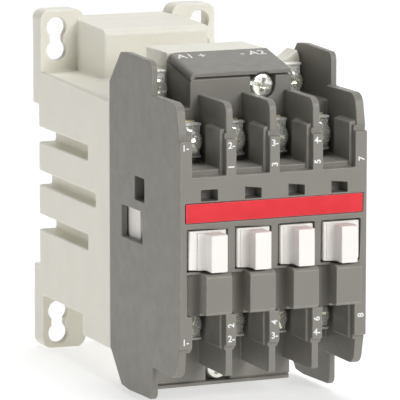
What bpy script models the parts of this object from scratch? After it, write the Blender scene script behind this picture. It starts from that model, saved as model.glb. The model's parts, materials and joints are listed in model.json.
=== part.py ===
"""A four-pole contactor for a DIN rail, 44 mm wide, with a direct-current coil.

Frame: +X to the right, -Y to the front, +Z up. The origin is at the middle of the rear mounting
plane, on the rail's centre line. Sizes below are in millimetres and become metres in the meshes.
The outer poles are normally open, the inner poles normally closed.
"""

import math

import bmesh
import bpy
from mathutils import Matrix, Vector

MM = 0.001
GAP = 0.3

# ---------------------------------------------------------------- driving dimensions
HALF_WIDTH = 22.0
FRONT = -90.1
BASE_FRONT = -48.7
HOUSING_REAR = BASE_FRONT - GAP
TRAVEL = 4.3

# Poles and the partitions between them
POLE_PITCH = 10.2
POLE_SHIFT = 0.1
POLES = [POLE_SHIFT + POLE_PITCH * (index - 1.5) for index in range(4)]
PARTITIONS = [POLE_SHIFT + POLE_PITCH * index for index in (-1, 0, 1)]
NORMALLY_OPEN = (True, False, False, True)

# Base
SHOULDER_TOP = 26.8
BASE_BOTTOM = -30.7
SIDE_BOTTOM = -25.9
CUTOUT_FRONT = -31.4
BLOCK_HALF_WIDTH = 12.9
BLOCK_FRONT = -23.2
RAIL_RECESS_DEPTH = 3.8
RAIL_RECESS_HALF_HEIGHT = 19.0
FOOT_THICKNESS = 5.5
FOOT_INNER_X = 11.0
FOOT_TOP = 41.2
FOOT_BOTTOM = -38.9
FOOT_CORNER_RADIUS = 2.4
FOOT_WEB = 1.9
FOOT_RIM = 1.3
SLOT_X = 18.0
SLOT_LOBE_RADIUS = 2.4
SLOT_WAIST = 3.2
SLOT_LOBES_TOP = (31.8, 37.1)
SLOT_LOBES_BOTTOM = (-35.3, -30.0)
GROOVES = (
    # lowest z, highest z, front end y, depth
    (10.35, 13.75, -35.2, 4.1),
    (0.25, 3.45, -40.0, 3.1),
    (-10.3, -6.8, -35.2, 4.1),
)

# Contact housing
EAR_WALL = 1.4
FRONT_WALL = 2.0
EAR_FRONT = -74.1
STEP_TOP = 30.0
PARTITION_WALL = 1.6
PARTITION_FRONT = -88.9
PARTITION_Z = (-30.1, 29.7)
CHEEK_WALL = 1.1
CHEEK_Y = (-88.1, -79.9)
CHEEK_TOP = 23.8
POCKET_BACK = -73.6
PANEL_TOP = 14.2
PANEL_BOTTOM = -16.0
STRIP_Z = (-23.1, 22.05)
STRIP_WIDTH = 2.4
COLLAR_FRONT = -89.0
COLLAR_Z = (-24.1, 23.2)
CORE_HALF_HEIGHT = 26.6
TOP_BLOCK_X = (-12.8, 11.2)
BOTTOM_BLOCK_X = (-20.9, 11.0)
BLOCK_REAR = -59.9
CHAMBER_HALF_WIDTH = 4.3
CHAMBER_HALF_HEIGHT = 11.6
LABEL_Z = (4.25, 8.55)
LABEL_X = (-20.8, 21.1)
PUSHER_Z = (-6.3, 2.9)
FILLET_RADIUS = 1.6
RAISED_BLOCK_Z = (-15.4, -6.5)
RAISED_BLOCK_FRONT = -94.0
VALLEY_DEPTH = 1.9

# Terminals
SCREW_Z = 20.1
HEAD_RADIUS = 3.1
HEAD_HEIGHT = 2.4
SHANK_RADIUS = 1.5
SHANK_HOLE_RADIUS = 1.85
PLATE_THICKNESS = 1.2
PLATE_FRONT = POCKET_BACK - GAP - PLATE_THICKNESS
CLAMP_FRONT = PLATE_FRONT - GAP - PLATE_THICKNESS
HEAD_REAR = CLAMP_FRONT - GAP
TIP_HEIGHT = 0.4
CLAMP_LIP = 0.55
COIL_HEAD_RADIUS = 2.7
COIL_SCREW_Z = 29.7
COIL_TERMINAL_X = {"left": -16.7, "right": 15.9}
COIL_PLATE_FRONT = -59.9

# Magnet
CORE_HALF = (4.2, 8.0)
YOKE_HALF_WIDTH = 15.4
YOKE_BACK = (-13.5, -8.0)
YOKE_FRONT = -41.0
ARMATURE_REAR = YOKE_FRONT - GAP - TRAVEL
ARMATURE_FRONT = ARMATURE_REAR - 5.0
COIL_BLOCK_X = (-12.6, 10.8)
COIL_BLOCK_Y = (-59.6, -47.4)
COIL_BLOCK_Z = (27.1, 37.3)

# Assembly screws: (x, z) of each
CAP_SCREWS = {"top": (4.5, 30.8), "bottom": (-6.1, -31.3)}
CAP_HEAD_RADIUS = 2.7
CAP_RECESS_RADIUS = 3.0

ROUND = 16
CORNER = 6


# ---------------------------------------------------------------- mesh helpers
def mesh_of(build):
    """Runs build on an empty bmesh, turns every face outwards and returns the mesh."""
    bm = bmesh.new()
    build(bm)
    bmesh.ops.recalc_face_normals(bm, faces=bm.faces)
    mesh = bpy.data.meshes.new("shape")
    bm.to_mesh(mesh)
    bm.free()
    return mesh


def block(x, y, z):
    """A box between two limits on each axis."""

    def build(bm):
        size = [(high - low) * MM for low, high in (x, y, z)]
        middle = [(high + low) * 0.5 * MM for low, high in (x, y, z)]
        placing = Matrix.Translation(middle) @ Matrix.Diagonal((*size, 1.0))
        bmesh.ops.create_cube(bm, size=1.0, matrix=placing)

    return mesh_of(build)


def prism(axis, outline, span):
    """An outline on the plane across an axis, extruded along that axis.

    The outline's points are (y, z) across X, (x, z) across Y and (x, y) across Z.
    """

    def point(pair, height):
        values = list(pair)
        values.insert("XYZ".index(axis), height)
        return Vector(values) * MM

    def build(bm):
        corners = [bm.verts.new(point(pair, span[0])) for pair in outline]
        base = bm.faces.new(corners)
        grown = bmesh.ops.extrude_face_region(bm, geom=[base])
        raised = [item for item in grown["geom"] if isinstance(item, bmesh.types.BMVert)]
        shift = point((0.0, 0.0), span[1] - span[0])
        bmesh.ops.translate(bm, verts=raised, vec=shift)

    return mesh_of(build)


def arc(centre, radius, start, end, steps):
    """Points on an arc from start to end, in degrees."""
    points = []
    for index in range(steps + 1):
        angle = math.radians(start + (end - start) * index / steps)
        points.append((centre[0] + radius * math.cos(angle), centre[1] + radius * math.sin(angle)))
    return points


def rod(axis, centre, radius, span, sides=ROUND):
    """A cylinder along an axis, with its centre given on the plane across it."""
    return prism(axis, arc(centre, radius, 0.0, 360.0 * (sides - 1) / sides, sides - 1), span)


def helix(radius, wire, length, turns, steps=10, sides=5):
    """A compression spring along +Y from the origin, as one closed tube."""

    def build(bm):
        count = int(turns * steps)
        rings = []
        for index in range(count + 1):
            share = index / count
            angle = 2.0 * math.pi * turns * share
            outward = Vector((math.cos(angle), 0.0, math.sin(angle)))
            centre = outward * radius + Vector((0.0, wire + (length - 2 * wire) * share, 0.0))
            ring = []
            for side in range(sides):
                turn = 2.0 * math.pi * side / sides
                offset = outward * math.cos(turn) + Vector((0.0, math.sin(turn), 0.0))
                ring.append(bm.verts.new((centre + offset * wire) * MM))
            rings.append(ring)
        for first, second in zip(rings, rings[1:]):
            for side in range(sides):
                after = (side + 1) % sides
                bm.faces.new((first[side], first[after], second[after], second[side]))
        bm.faces.new(rings[0])
        bm.faces.new(rings[-1])

    return mesh_of(build)


def solid(first, joined=(), cut=()):
    """Joins meshes to the first one, then cuts others from it, and returns the result."""
    target = bpy.data.objects.new("target", first)
    bpy.context.scene.collection.objects.link(target)
    helpers = []
    for operation, meshes in (("UNION", joined), ("DIFFERENCE", cut)):
        for mesh in meshes:
            helper = bpy.data.objects.new("helper", mesh)
            bpy.context.scene.collection.objects.link(helper)
            helpers.append(helper)
            modifier = target.modifiers.new(operation, "BOOLEAN")
            modifier.operation = operation
            modifier.object = helper
    graph = bpy.context.evaluated_depsgraph_get()
    result = bpy.data.meshes.new_from_object(target.evaluated_get(graph))
    for helper in helpers + [target]:
        bpy.data.objects.remove(helper)
    return result


def mirrored(pairs):
    """Each (low, high) span in x and its mirror image."""
    return [span for low, high in pairs for span in ((low, high), (-high, -low))]


# ---------------------------------------------------------------- materials and placing
def finish(name, colour, roughness, metallic=0.0):
    material = bpy.data.materials.new(name)
    material.use_nodes = True
    shader = material.node_tree.nodes["Principled BSDF"]
    shader.inputs["Base Color"].default_value = (*colour, 1.0)
    shader.inputs["Roughness"].default_value = roughness
    shader.inputs["Metallic"].default_value = metallic
    material.diffuse_color = (*colour, 1.0)
    return material


def place(name, mesh, material, location=(0.0, 0.0, 0.0), smooth=False, parent=None):
    """Makes a named piece of a mesh, with its origin at a location in millimetres."""
    piece = bpy.data.objects.new(name, mesh)
    piece.location = Vector(location) * MM
    piece.parent = parent
    bpy.context.scene.collection.objects.link(piece)
    if not mesh.materials:
        mesh.materials.append(material)
    if smooth:
        mesh.shade_smooth()
        mesh.set_sharp_from_angle(angle=math.radians(35))
    return piece


# ---------------------------------------------------------------- base
def foot_outline(low, high, side):
    """The foot's front view: rounded at its outer end, square where it meets the body."""
    radius = FOOT_CORNER_RADIUS
    inner, outer = FOOT_INNER_X, HALF_WIDTH
    if high > 0:
        outline = [(inner, low), (outer, low)]
        outline += arc((outer - radius, high - radius), radius, 0, 90, CORNER)
        outline += arc((inner + radius, high - radius), radius, 90, 180, CORNER)
    else:
        outline = [(outer, high), (inner, high)]
        outline += arc((inner + radius, low + radius), radius, 180, 270, CORNER)
        outline += arc((outer - radius, low + radius), radius, 270, 360, CORNER)
    return [(side * x, z) for x, z in outline]


def lobed_slot(x, lobes):
    """Two round lobes joined by a narrower waist: the hole that a foot screw passes."""
    low, high = sorted(lobes)
    edge = math.degrees(math.asin(SLOT_WAIST / 2 / SLOT_LOBE_RADIUS))
    upper = arc((x, high), SLOT_LOBE_RADIUS, edge - 90, 270 - edge, ROUND)
    lower = arc((x, low), SLOT_LOBE_RADIUS, 90 + edge, 450 - edge, ROUND)
    return upper + lower


def base_housing():
    depth = RAIL_RECESS_DEPTH
    half = RAIL_RECESS_HALF_HEIGHT
    side_view = [
        (0.0, SHOULDER_TOP),
        (0.0, half),
        (-depth, half),
        (-depth, -half),
        (0.0, -half),
        (0.0, SIDE_BOTTOM),
        (CUTOUT_FRONT, SIDE_BOTTOM),
        (CUTOUT_FRONT, BASE_BOTTOM),
        (BASE_FRONT, BASE_BOTTOM),
        (BASE_FRONT, SHOULDER_TOP),
    ]
    upper_block = [
        (0.0, SHOULDER_TOP - 1),
        (0.0, 39.0),
        (BLOCK_FRONT + 1.2, 38.2),
        (BLOCK_FRONT, 37.2),
        (BLOCK_FRONT, SHOULDER_TOP - 1),
    ]
    width = (-BLOCK_HALF_WIDTH, BLOCK_HALF_WIDTH)
    joined = [
        prism("X", upper_block, width),
        block(width, (CUTOUT_FRONT - 1, 0.0), (BASE_BOTTOM, SIDE_BOTTOM + 1)),
    ]
    cut = [
        block((-16.2, 16.2), (-42.0, -6.6), (-23.7, 24.4)),
        block((-20.0, 20.0), (BASE_FRONT - 1, -41.5), (-28.4, 24.6)),
    ]
    for side in (-1, 1):
        for low, high, lobes in (
            (half, FOOT_TOP, SLOT_LOBES_TOP),
            (FOOT_BOTTOM, -half, SLOT_LOBES_BOTTOM),
        ):
            joined.append(prism("Y", foot_outline(low, high, side), (-FOOT_THICKNESS, 0.0)))
            cut.append(prism("Y", lobed_slot(side * SLOT_X, lobes), (-FOOT_THICKNESS - 1, 1.0)))
            x = sorted((side * (BLOCK_HALF_WIDTH + 0.6), side * (HALF_WIDTH - FOOT_RIM)))
            z = (lobes[0] - 3.8, lobes[1] + 2.8)
            cut.append(block(x, (FOOT_WEB - FOOT_THICKNESS, 1.0), z))
    for low, high, front, groove in GROOVES:
        for x in mirrored([(HALF_WIDTH - groove, HALF_WIDTH + 1)]):
            cut.append(block(x, (front, 1.0), (low, high)))
    # Lips that hook over the rail's upper edge
    for x in mirrored([(4.0, 9.0)]):
        joined.append(block(x, (-2.4, -0.3), (16.2, half + 1)))
    # Undercut channel for the rail latch
    low = BASE_BOTTOM - 1
    cut.append(block((-8.5, 8.5), (-depth, -2.0), (low, -half + 1)))
    cut.append(block((-6.0, 6.0), (-depth, 1.0), (low, -half + 1)))
    body = solid(prism("X", side_view, (-HALF_WIDTH, HALF_WIDTH)), joined, cut)
    # Peg that the latch's spring bears on
    return solid(body, [block((-1.2, 1.2), (-5.0, -1.1), (-29.8, -28.9))])


def din_latch():
    """T-shaped slide with a lip above, a pull tab below and a pocket for its spring."""
    lip = block((-5.6, 5.6), (-2.4, -GAP), (-23.0, -16.2))
    wide = block((-8.2, 8.2), (-3.5, -2.3), (-30.6, -19.4))
    narrow = block((-5.7, 5.7), (-3.5, -GAP), (-34.6, -19.4))
    pocket = block((-1.7, 1.7), (-4.0, 1.0), (-30.2, -20.7))
    pull_slot = block((-3.0, 3.0), (-4.0, 1.0), (-33.4, -31.8))
    return solid(lip, [wide, narrow], [pocket, pull_slot])


# ---------------------------------------------------------------- contact housing
def mirrored_down(upper):
    """Closes an outline, given as (y, z) above the middle, with its mirror image below."""
    return upper + [(y, -z) for y, z in reversed(upper)]


def wall_front():
    """The rounded front of an outer wall's upper step, down to the marker strip."""
    return arc((-85.4, STEP_TOP - 2.8), 2.8, 90, 172, CORNER) + [(COLLAR_FRONT, STRIP_Z[1])]


def side_wall_outline():
    """Side view of an outer wall: a stepped ear at the top and at the bottom."""
    upper = [(HOUSING_REAR, 30.3), (-55.6, 37.4), (-60.0, 37.8), (-72.0, 37.4)]
    upper += arc((-72.3, 35.6), 1.8, 90, 180, CORNER)
    upper += [(EAR_FRONT, STEP_TOP)] + wall_front()
    return mirrored_down(upper)


def partition_outline():
    """Side view of a partition: more rounded at its upper front corner than at the lower."""
    front = PARTITION_FRONT
    low, high = PARTITION_Z
    outline = [(POCKET_BACK + 0.8, low), (POCKET_BACK + 0.8, high)]
    outline += arc((front + 2.2, high - 2.2), 2.2, 90, 180, CORNER)
    outline += arc((front + 0.9, low + 0.9), 0.9, 180, 270, 3)
    return outline


def block_outline(height, slope):
    """Side view of the block behind the poles: flat front, and a roof that rises to the rear."""
    return [
        (POCKET_BACK, 20.0),
        (POCKET_BACK, height),
        (BLOCK_REAR, height + slope),
        (BLOCK_REAR, 20.0),
    ]


def marker_strip(x):
    """Flat strip up the front edge of a wall, with a set-back step at each end."""
    return [
        block(x, (FRONT, -87.9), STRIP_Z),
        block(x, (COLLAR_FRONT, -87.9), COLLAR_Z),
    ]


def cheeks(wall_x, edge_x):
    """Cheeks above and below the panel, with tops that fall slightly from wall to edge."""
    upper = [(wall_x, 14.0), (wall_x, CHEEK_TOP + 0.4), (edge_x, CHEEK_TOP), (edge_x, 14.0)]
    lower = [(x, -z) for x, z in upper]
    return [prism("Y", outline, CHEEK_Y) for outline in (upper, lower)]


def raised_block_outline():
    """Side view of the block under each pusher, with its front edges chamfered."""
    low, high = RAISED_BLOCK_Z
    front, chamfer = RAISED_BLOCK_FRONT, 0.5
    return [
        (FRONT + 0.5, low),
        (front + chamfer, low),
        (front, low + chamfer),
        (front, high - chamfer),
        (front + chamfer, high),
        (FRONT + 0.5, high),
    ]


def valley_outline(left, right):
    """Plan view of the hollow beside a raised block: half an ellipse, open to the front."""
    middle, half = (left + right) / 2, (right - left) / 2
    hollow = [
        (middle + half * math.cos(turn), FRONT + VALLEY_DEPTH * math.sin(turn))
        for turn in (math.radians(15 * step) for step in range(13))
    ]
    return [(right, FRONT - 1)] + hollow + [(left, FRONT - 1)]


def pusher_rib(centre):
    """Plan view of a pusher's rib, with a hollow fillet where its left flank meets the plate."""
    left, right = centre - 1.45, centre + 2.4
    fillet = arc((left - FILLET_RADIUS, FRONT - 0.2 - FILLET_RADIUS), FILLET_RADIUS, 90, 0, 5)
    return [(left - FILLET_RADIUS, -89.6)] + fillet + [(left, -94.6), (right, -94.6), (right, -89.6)]


def pusher_opening(index):
    """The pusher opening's span in x: the outer poles' openings reach further out."""
    low, high = POLES[index] - CHAMBER_HALF_WIDTH, POLES[index] + CHAMBER_HALF_WIDTH
    if index == 0:
        low = -20.4
    if index == 3:
        high = 20.5
    return low, high


def contact_housing_solids():
    outer = (HALF_WIDTH - EAR_WALL, HALF_WIDTH)
    joined = [block((-21.3, 21.3), (FRONT, POCKET_BACK + 0.6), (PANEL_BOTTOM, PANEL_TOP))]
    for x in mirrored([outer]):
        joined.append(prism("X", side_wall_outline(), x))
    front_step = mirrored_down([(POCKET_BACK + 0.8, STEP_TOP)] + wall_front())
    for x in mirrored([(HALF_WIDTH - FRONT_WALL, HALF_WIDTH)]):
        joined.append(prism("X", front_step, x))
    for x in mirrored([(19.2, HALF_WIDTH)]):
        joined += marker_strip(x)
    for middle in PARTITIONS:
        wall = (middle - PARTITION_WALL / 2, middle + PARTITION_WALL / 2)
        joined.append(prism("X", partition_outline(), wall))
        joined += marker_strip((middle - STRIP_WIDTH / 2, middle + STRIP_WIDTH / 2))
    # Thicker cheeks that narrow each pocket beside its clamp
    for centre in POLES:
        for side in (-1, 1):
            outer = centre + side * (POLE_PITCH - PARTITION_WALL) / 2
            joined += cheeks(outer + 0.3 * side, outer - CHEEK_WALL * side)
    joined.append(prism("X", block_outline(32.9, 3.0), TOP_BLOCK_X))
    lower = [(y, -z) for y, z in block_outline(35.1, 0.0)]
    joined.append(prism("X", lower, BOTTOM_BLOCK_X))
    # Sills along the pockets' lower edges
    joined.append(block((-20.5, 20.5), (-87.6, POCKET_BACK + 0.5), (PANEL_TOP - 1, 15.3)))
    for centre in POLES:
        joined.append(prism("X", raised_block_outline(), (centre - 2.35, centre + 3.7)))
    return joined


def contact_housing_cuts():
    cut = [
        # Rear cavity for the carrier's beam, and the way up for the bobbin's arm
        block((-20.5, 20.5), (-63.2, HOUSING_REAR + 1), (-17.5, 17.5)),
        block((-9.6, 9.6), (-57.6, HOUSING_REAR + 1), (17.0, CORE_HALF_HEIGHT + 1)),
        block(LABEL_X, (FRONT - 1, FRONT + 0.9), LABEL_Z),
        # Seam along the foot of the bottom block
        block((-20.6, 12.0), (POCKET_BACK - 1, POCKET_BACK + 0.6), (-34.25, -33.85)),
    ]
    for index, centre in enumerate(POLES):
        x = (centre - CHAMBER_HALF_WIDTH, centre + CHAMBER_HALF_WIDTH)
        half = CHAMBER_HALF_HEIGHT
        cut.append(block(x, (-83.4, -59.0), (-half, half)))
        cut.append(block(x, (-88.1, -82.0), (-6.2, 3.4)))
        cut.append(block(pusher_opening(index), (FRONT - 1, -83.3), PUSHER_Z))
        valley_left = -20.4 if index == 0 else centre - 5.5
        # Runs just past the panel's edge, so that it opens into the pocket beside the strip
        valley_z = (PANEL_BOTTOM - 0.02, -6.9)
        cut.append(prism("Z", valley_outline(valley_left, centre - 2.35), valley_z))
        cut.append(block((centre - 1.95, centre + 1.95), (FRONT - 1, -86.2), (8.9, 11.35)))
        for side in (-1, 1):
            # Slot for the contact strip, and the hole behind its screw
            z = sorted((side * 11.0, side * 16.0))
            slot_x = (centre - 3.2, centre + 3.2)
            cut.append(block(slot_x, (PLATE_FRONT - GAP, POCKET_BACK), z))
            axis = (centre, side * SCREW_Z)
            cut.append(rod("Y", axis, SHANK_HOLE_RADIUS, (POCKET_BACK - 1, -66.0), 12))
    for name, (x, z) in CAP_SCREWS.items():
        # U-shaped recess, open upwards at the top and down to the seam at the bottom
        radius = CAP_RECESS_RADIUS
        end = z + 4.0 if name == "top" else -34.3
        start = 180 if name == "top" else 0
        recess = arc((x, z), radius, start, start + 180, 8)
        recess += [(recess[-1][0], end), (recess[0][0], end)]
        cut.append(prism("Y", recess, (POCKET_BACK - 1, -70.5)))
        cut.append(rod("Y", (x, z), SHANK_HOLE_RADIUS, (-71.0, -61.0), 12))
    for x in mirrored([(19.0, HALF_WIDTH + 1)]):
        cut.append(block(x, (-68.3, -56.0), (-3.6, 3.5)))
        cut.append(block(x, (-69.4, -63.7), (5.8, 11.0)))
    return cut


def contact_housing():
    core = block((-21.3, 21.3), (POCKET_BACK, HOUSING_REAR), (-CORE_HALF_HEIGHT, CORE_HALF_HEIGHT))
    return solid(core, contact_housing_solids(), contact_housing_cuts())


def coil_cap():
    """Thin sloped cap over the top block."""
    outline = [
        (POCKET_BACK, 33.3),
        (POCKET_BACK, 34.2),
        (BLOCK_REAR - 0.2, 37.25),
        (BLOCK_REAR - 0.2, 36.2),
    ]
    notch = rod("Y", CAP_SCREWS["top"], CAP_RECESS_RADIUS, (POCKET_BACK - 1, -70.5))
    return solid(prism("X", outline, TOP_BLOCK_X), cut=[notch])


# ---------------------------------------------------------------- coil and magnet
def coil_bobbin():
    back, front = -14.2, -40.6
    core_x, core_z = CORE_HALF
    tube = block((-core_x - 1.4, core_x + 1.4), (front, back), (-core_z - 1.6, core_z + 1.6))
    joined = [block((-10.9, 10.9), (y - 1.4, y), (-19.0, 19.0)) for y in (back, front + 1.4)]
    # Arm that carries the terminal block, forwards and up through the housing's roof
    joined.append(block((-9.0, 9.0), (front, front + 1.4), (18.0, 23.6)))
    joined.append(block((-9.0, 9.0), (-56.8, front + 0.8), (21.6, 23.6)))
    joined.append(block((-9.0, 9.0), (-56.8, -54.4), (21.6, 28.0)))
    joined.append(block(COIL_BLOCK_X, COIL_BLOCK_Y, COIL_BLOCK_Z))
    # Wings behind the coil terminals; the right-hand one rises to a point beside the wall
    wing_y = (-58.4, -53.0)
    low = COIL_BLOCK_Z[0]
    joined.append(block((-20.2, COIL_BLOCK_X[0] + 1), wing_y, (low, 33.4)))
    right_wing = [(9.0, low), (20.2, low), (20.2, 34.2), (19.5, 36.2), (16.9, 34.3), (9.0, 33.0)]
    joined.append(prism("Y", right_wing, wing_y))
    cut = [
        block(
            (-core_x - 0.4, core_x + 0.4),
            (front - 1, back + 1),
            (-core_z - 0.4, core_z + 0.4),
        )
    ]
    for x in COIL_TERMINAL_X.values():
        cut.append(rod("Y", (x, COIL_SCREW_Z), SHANK_HOLE_RADIUS, (-59.0, -53.9), 12))
    return solid(tube, joined, cut)


def coil_winding():
    core_x, core_z = CORE_HALF
    outer = block((-10.2, 10.2), (-38.9, -15.9), (-17.0, 17.0))
    inner_x, inner_z = core_x + 1.4 + GAP, core_z + 1.6 + GAP
    return solid(outer, cut=[block((-inner_x, inner_x), (-45.0, -10.0), (-inner_z, inner_z))])


def magnet_yoke():
    """E-shaped core: a back and three legs."""
    leg_x, half_z = CORE_HALF
    outer = YOKE_HALF_WIDTH
    inner = outer - 4.0
    rear, back_front, front = YOKE_BACK[1], YOKE_BACK[0], YOKE_FRONT
    outline = [
        (-outer, rear),
        (-outer, front),
        (-inner, front),
        (-inner, back_front),
        (-leg_x, back_front),
        (-leg_x, front),
        (leg_x, front),
        (leg_x, back_front),
        (inner, back_front),
        (inner, front),
        (outer, front),
        (outer, rear),
    ]
    return prism("Z", outline, (-half_z, half_z))


def armature():
    plate = block((-YOKE_HALF_WIDTH, YOKE_HALF_WIDTH), (ARMATURE_FRONT, ARMATURE_REAR), (-8.0, 8.0))
    tab = block((-2.2, 2.2), (ARMATURE_FRONT - 4.8, ARMATURE_FRONT + 1), (-4.0, 4.0))
    hole = rod("X", (-53.4, 0.0), 1.3, (-3.0, 3.0), 12)
    return solid(plate, [tab], [hole])


# ---------------------------------------------------------------- contact carrier
def contact_carrier():
    beam = block((-19.0, 19.0), (-60.2, -57.4), (-4.4, 4.1))
    joined = [block((-3.6, 3.6), (-60.2, -57.4), (-16.6, 16.6))]
    cut = []
    for x in mirrored([(18.6, 20.2)]):
        joined.append(block(x, (-62.4, -55.0), (-4.4, 4.1)))
    # Lugs that hold the armature's tab
    for x in mirrored([(2.6, 5.2)]):
        joined.append(block(x, (-58.0, -51.0), (-4.4, 4.1)))
    cut.append(rod("X", (-53.4, 0.0), 1.3, (-6.0, 6.0), 12))
    for index, centre in enumerate(POLES):
        low, high = pusher_opening(index)
        joined.append(block((centre - 3.6, centre + 3.6), (-88.6, -59.5), (-4.6, 1.5)))
        joined.append(block((low + 0.35, high - 0.35), (FRONT, -88.3), (-5.95, 2.55)))
        joined.append(prism("Z", pusher_rib(centre), (-5.95, 2.15)))
        cut.append(block((centre - 2.7, centre + 2.7), (-86.8, -67.2), (-6.0, 5.0)))
    return solid(beam, joined, cut)


def contact_bridge(tip_side):
    """Bridge centred on the origin, with a contact tip at each end on the side given in y."""
    bar = block((-2.2, 2.2), (-0.55, 0.55), (-10.4, 10.4))
    tip_y = sorted((0.0, tip_side * (0.55 + TIP_HEIGHT)))
    tips = [block((-1.5, 1.5), tip_y, z) for z in ((7.0, 10.0), (-10.0, -7.0))]
    return solid(bar, tips)


def fixed_contact(end, tip_side):
    """Contact strip about the screw's axis; end is +1 above and -1 below."""
    centre_z = end * SCREW_Z
    z = sorted((end * 24.3 - centre_z, end * 6.6 - centre_z))
    strip = block((-2.9, 2.9), (0.0, PLATE_THICKNESS), z)
    front, rear = (-TIP_HEIGHT, 0.5) if tip_side < 0 else (0.5, PLATE_THICKNESS + TIP_HEIGHT)
    tip_z = sorted((end * 7.0 - centre_z, end * 10.0 - centre_z))
    hole = rod("Y", (0.0, 0.0), SHANK_HOLE_RADIUS, (-1.0, 2.5), 12)
    return solid(strip, [block((-1.5, 1.5), (front, rear), tip_z)], [hole])


def clamp_plate(half_width, low, high):
    """Clamp washer with an edge bent forwards wherever it reaches past the screw's head."""
    x = (-half_width, half_width)
    plate = block(x, (0.0, PLATE_THICKNESS), (low, high))
    edges = [(high - CLAMP_LIP, high)]
    if -low > HEAD_RADIUS:
        edges.append((low, low + CLAMP_LIP))
    lips = [block(x, (-0.7, 0.5), edge) for edge in edges]
    hole = rod("Y", (0.0, 0.0), SHANK_HOLE_RADIUS, (-1.0, 2.5), 12)
    return solid(plate, lips, [hole])


def screw(head_radius, shank_length):
    """Screw along +Y with its head's rear face at the origin."""
    head = rod("Y", (0.0, 0.0), head_radius, (-HEAD_HEIGHT, 0.0), ROUND)
    shank = rod("Y", (0.0, 0.0), SHANK_RADIUS, (-0.5, shank_length), 10)
    length = head_radius - 0.7
    slots = [
        block((-length, length), (-HEAD_HEIGHT - 1, -HEAD_HEIGHT + 1.2), (-0.45, 0.45)),
        block((-0.45, 0.45), (-HEAD_HEIGHT - 1, -HEAD_HEIGHT + 1.2), (-length * 0.6, length * 0.6)),
    ]
    return solid(head, [shank], slots)


# ---------------------------------------------------------------- assembly
def place_terminals(finishes):
    strip_meshes = {}
    for end in (1, -1):
        for tip_side in (-1, 1):
            strip_meshes[end, tip_side] = fixed_contact(end, tip_side)
    clamp = clamp_plate(3.5, -3.8, 3.8)
    terminal_screw = screw(HEAD_RADIUS, 8.6)
    for index, centre in enumerate(POLES):
        tip_side = -1 if NORMALLY_OPEN[index] else 1
        for end, offset in ((1, 1), (-1, 2)):
            number = 2 * index + offset
            z = end * SCREW_Z
            strip = strip_meshes[end, tip_side]
            place(f"fixed_contact_{number}", strip, finishes["brass"], (centre, PLATE_FRONT, z))
            place(f"terminal_clamp_{number}", clamp, finishes["steel"], (centre, CLAMP_FRONT, z))
            where = (centre, HEAD_REAR, z)
            place(f"terminal_screw_{number}", terminal_screw, finishes["steel"], where, True)


def place_coil_terminals(finishes):
    plate = solid(
        block((-2.8, 2.8), (0.0, PLATE_THICKNESS), (-2.8, 3.7)),
        cut=[rod("Y", (0.0, 0.0), SHANK_HOLE_RADIUS, (-1.0, 2.5), 12)],
    )
    clamp = clamp_plate(3.0, -2.8, 4.1)
    coil_screw = screw(COIL_HEAD_RADIUS, 6.5)
    clamp_front = COIL_PLATE_FRONT - GAP - PLATE_THICKNESS
    for side, x in COIL_TERMINAL_X.items():
        z = COIL_SCREW_Z
        place(f"coil_terminal_{side}", plate, finishes["brass"], (x, COIL_PLATE_FRONT, z))
        place(f"coil_clamp_{side}", clamp, finishes["steel"], (x, clamp_front, z))
        where = (x, clamp_front - GAP, z)
        place(f"coil_screw_{side}", coil_screw, finishes["steel"], where, True)


def place_carrier_group(finishes):
    """Everything that slides with the carrier, parented to an empty on the joint's axis."""
    slide = bpy.data.objects.new("carrier_slide", None)
    bpy.context.scene.collection.objects.link(slide)

    def ride(name, mesh, material, location=(0.0, 0.0, 0.0), smooth=False):
        place(name, mesh, material, location, smooth, slide)

    ride("contact_carrier", contact_carrier(), finishes["white"])
    ride("armature", armature(), finishes["iron"])
    ride("armature_pin", rod("X", (-53.4, 0.0), 1.0, (-5.6, 5.6), 12), finishes["steel"])
    bridges = {side: contact_bridge(side) for side in (-1, 1)}
    for index, centre in enumerate(POLES):
        if NORMALLY_OPEN[index]:
            tip_end = PLATE_FRONT - TIP_HEIGHT - GAP - TRAVEL
            bridge_y = tip_end - TIP_HEIGHT - 0.55
            bridge = bridges[1]
            spring_rear, spring_front = bridge_y - 0.85, -86.5
        else:
            tip_end = PLATE_FRONT + PLATE_THICKNESS + TIP_HEIGHT + GAP
            bridge_y = tip_end + TIP_HEIGHT + 0.55
            bridge = bridges[-1]
            spring_rear, spring_front = -67.5, bridge_y + 0.85
        ride(f"contact_bridge_{index + 1}", bridge, finishes["brass"], (centre, bridge_y, 0.0))
        spring = helix(1.6, 0.28, spring_rear - spring_front, 4.0)
        where = (centre, spring_front, -1.55)
        ride(f"contact_spring_{index + 1}", spring, finishes["steel"], where, True)


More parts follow.
